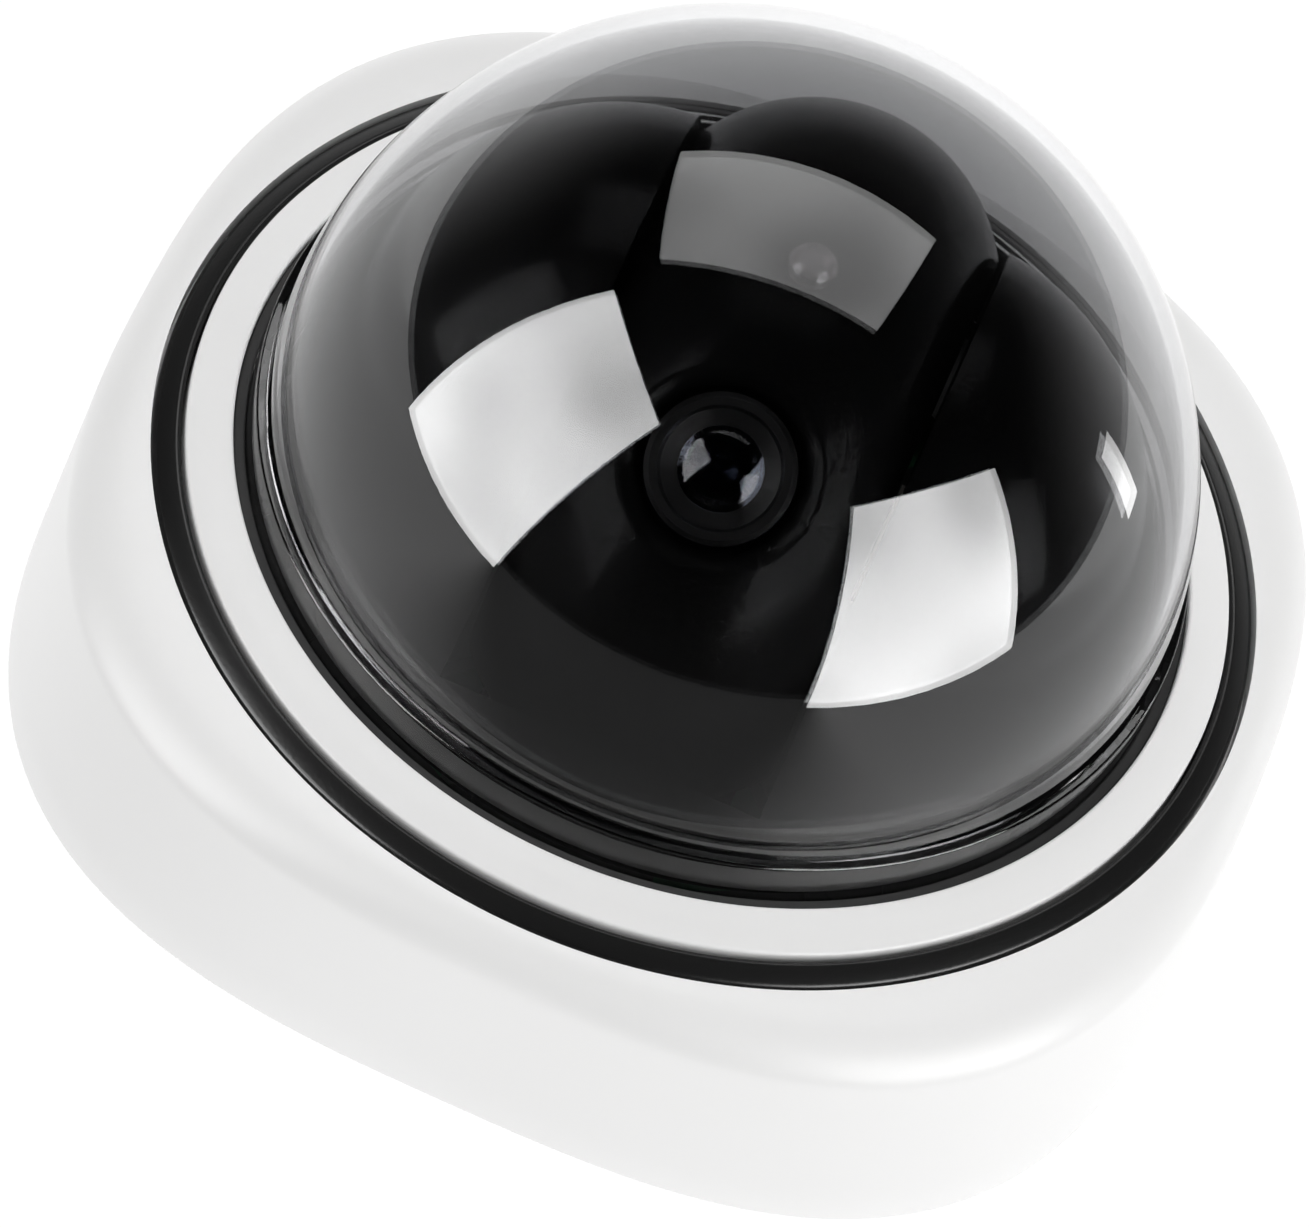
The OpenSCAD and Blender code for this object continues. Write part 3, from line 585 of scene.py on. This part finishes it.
def makeFloor(s):
    bm = bmesh.new()
    bmesh.ops.create_grid(bm, x_segments=2, y_segments=2, size=s["floorSize"] / 2)
    mesh = bpy.data.meshes.new("paleFloor")
    bm.to_mesh(mesh)
    bm.free()
    floor = bpy.data.objects.new("paleFloor", mesh)
    bpy.context.scene.collection.objects.link(floor)
    material = newFinish(
        "paleFloor", mouldedSkin, specular=0.0, Light=grey(0.05), Dark=grey(0.045),
        Grain_Size=40.0, Drift_Size=2.0, Polish=0.9, Unevenness=0.05, Depth=0.0)
    tree = material.node_tree
    shader = tree.nodes["Principled BSDF"]
    place = tree.nodes.new("ShaderNodeTexCoord")
    split = tree.nodes.new("ShaderNodeSeparateXYZ")
    tree.links.new(place.outputs["Object"], split.inputs["Vector"])
    # in reflections: dark in front, pale at the sides, paler behind
    across = addMath(tree, "ABSOLUTE", split.outputs["X"], 0.0)
    backward = addMath(tree, "MULTIPLY", split.outputs["Y"], s["spreadY"])
    outward = addMath(tree, "ADD", across, backward)
    beside = addRange(tree, outward, s["sideFrom"], s["sideTo"], s["floorFront"], s["floorSides"])
    behind = addRange(tree, split.outputs["Y"], s["backFrom"], s["backTo"],
                      1.0, s["floorBack"] / s["floorSides"])
    mirrored = addMath(tree, "MULTIPLY", beside, behind)
    level = stageLevel(tree, mirrored, s["fill"], s["seen"])
    shader.inputs["Emission Color"].default_value = (1, 1, 1, 1)
    tree.links.new(level, shader.inputs["Emission Strength"])
    material.cycles.emission_sampling = "NONE"
    # clear from below, so the underside of the base can be looked at
    side = tree.nodes.new("ShaderNodeNewGeometry")
    mixOver(tree, side.outputs["Backfacing"], shader)
    floor.location.z = -s["drop"]
    mesh.materials.append(material)


def makeLight(name, centre, along, width, height, power, lights, mirrored):
    data = bpy.data.lights.new(name, "AREA")
    data.shape = "RECTANGLE"
    data.size, data.size_y, data.energy = width, height, power
    light = bpy.data.objects.new(name, data)
    bpy.context.scene.collection.objects.link(light)
    back = (Vector(centre) - lampAim).normalized()
    side = (Vector(along) - back * Vector(along).dot(back)).normalized()
    turn = Matrix((side, back.cross(side), back)).transposed().to_4x4()
    light.matrix_world = Matrix.Translation(centre) @ turn
    if mirrored:
        # brighter low down, with a slow unevenness like a real soft box
        s = boxFace
        data.use_nodes = True
        tree = data.node_tree
        place = tree.nodes.new("ShaderNodeNewGeometry")
        split = tree.nodes.new("ShaderNodeSeparateXYZ")
        drift = tree.nodes.new("ShaderNodeTexNoise")
        drift.inputs["Scale"].default_value = s["driftScale"]
        drift.inputs["Detail"].default_value = 0.0
        tree.links.new(place.outputs["Position"], split.inputs["Vector"])
        tree.links.new(place.outputs["Position"], drift.inputs["Vector"])
        foot, head = centre[2] - height * 0.5, centre[2] + height * 0.5
        fall = addRange(tree, split.outputs["Z"], foot, head, s["foot"], s["head"])
        drifted = addRange(tree, drift.outputs["Fac"], s["driftFrom"], s["driftTo"],
                           s["dim"], s["bright"])
        strength = addMath(tree, "MULTIPLY", fall, drifted)
        tree.links.new(strength, tree.nodes["Emission"].inputs["Strength"])
    light.visible_camera = False
    light.visible_diffuse = lights
    light.visible_glossy = mirrored
    light.visible_transmission = mirrored


makeFloor(stageSettings)
for boxName, (centre, along, width, height, power, sheen) in boxes.items():
    if power > 0:
        makeLight(boxName, centre, along, width, height, power, True, False)
    if sheen > 0:
        makeLight(boxName + "Card", Vector(centre) * cardShare, along,
                  width * cardShare, height * cardShare, sheen, False, True)


def makeAir(s):
    # in reflections: pale low down behind, nearly black overhead, at the sides and in front
    world = bpy.data.worlds.new("studioAir")
    world.use_nodes = True
    tree = world.node_tree
    place = tree.nodes.new("ShaderNodeTexCoord")
    split = tree.nodes.new("ShaderNodeSeparateXYZ")
    tree.links.new(place.outputs["Generated"], split.inputs["Vector"])
    low = addRange(tree, split.outputs["Y"], s["airBackFrom"], 1.0, s["airSide"], s["airBack"])
    high = addRange(tree, split.outputs["Z"], 0.0, s["airHighTo"], 1.0, s["airHigh"])
    mirrored = addMath(tree, "MULTIPLY", low, high)
    level = stageLevel(tree, mirrored, s["airFill"], s["seen"])
    background = tree.nodes["Background"]
    background.inputs["Color"].default_value = (1, 1, 1, 1)
    tree.links.new(level, background.inputs["Strength"])
    world.cycles.sampling_method = "NONE"
    bpy.context.scene.world = world


makeAir(stageSettings)
bpy.context.scene.view_settings.view_transform = "Standard"

view = {
    "azimuth": 1.75, "elevation": 49.75, "roll": 22.72, "distance": 0.7614, "lens": 219.98,
    "sensorWidth": 36.0, "nearClip": 0.01, "farClip": 20.0,
    "aimRight": 0.00708, "aimUp": -0.01258, "target": (0, 0, 0.0233),
}


def makeCamera(s):
    a, e, r = (math.radians(s[k]) for k in ("azimuth", "elevation", "roll"))
    back = Vector((math.sin(a) * math.cos(e), -math.cos(a) * math.cos(e), math.sin(e)))
    level = Vector((math.cos(a), math.sin(a), 0))
    upright = back.cross(level)
    right = level * math.cos(r) + upright * math.sin(r)
    up = upright * math.cos(r) - level * math.sin(r)
    aim = (-back - right * s["aimRight"] + up * s["aimUp"]).normalized()
    right = (right - aim * right.dot(aim)).normalized()
    up = right.cross(aim)
    data = bpy.data.cameras.new("viewCamera")
    data.lens, data.sensor_width = s["lens"], s["sensorWidth"]
    data.clip_start, data.clip_end = s["nearClip"], s["farClip"]
    camera = bpy.data.objects.new("viewCamera", data)
    bpy.context.scene.collection.objects.link(camera)
    spot = Vector(s["target"]) + back * s["distance"]
    turn = Matrix((right, up, -aim)).transposed().to_4x4()
    camera.matrix_world = Matrix.Translation(spot) @ turn
    bpy.context.scene.camera = camera


makeCamera(view)
print("stage ready")
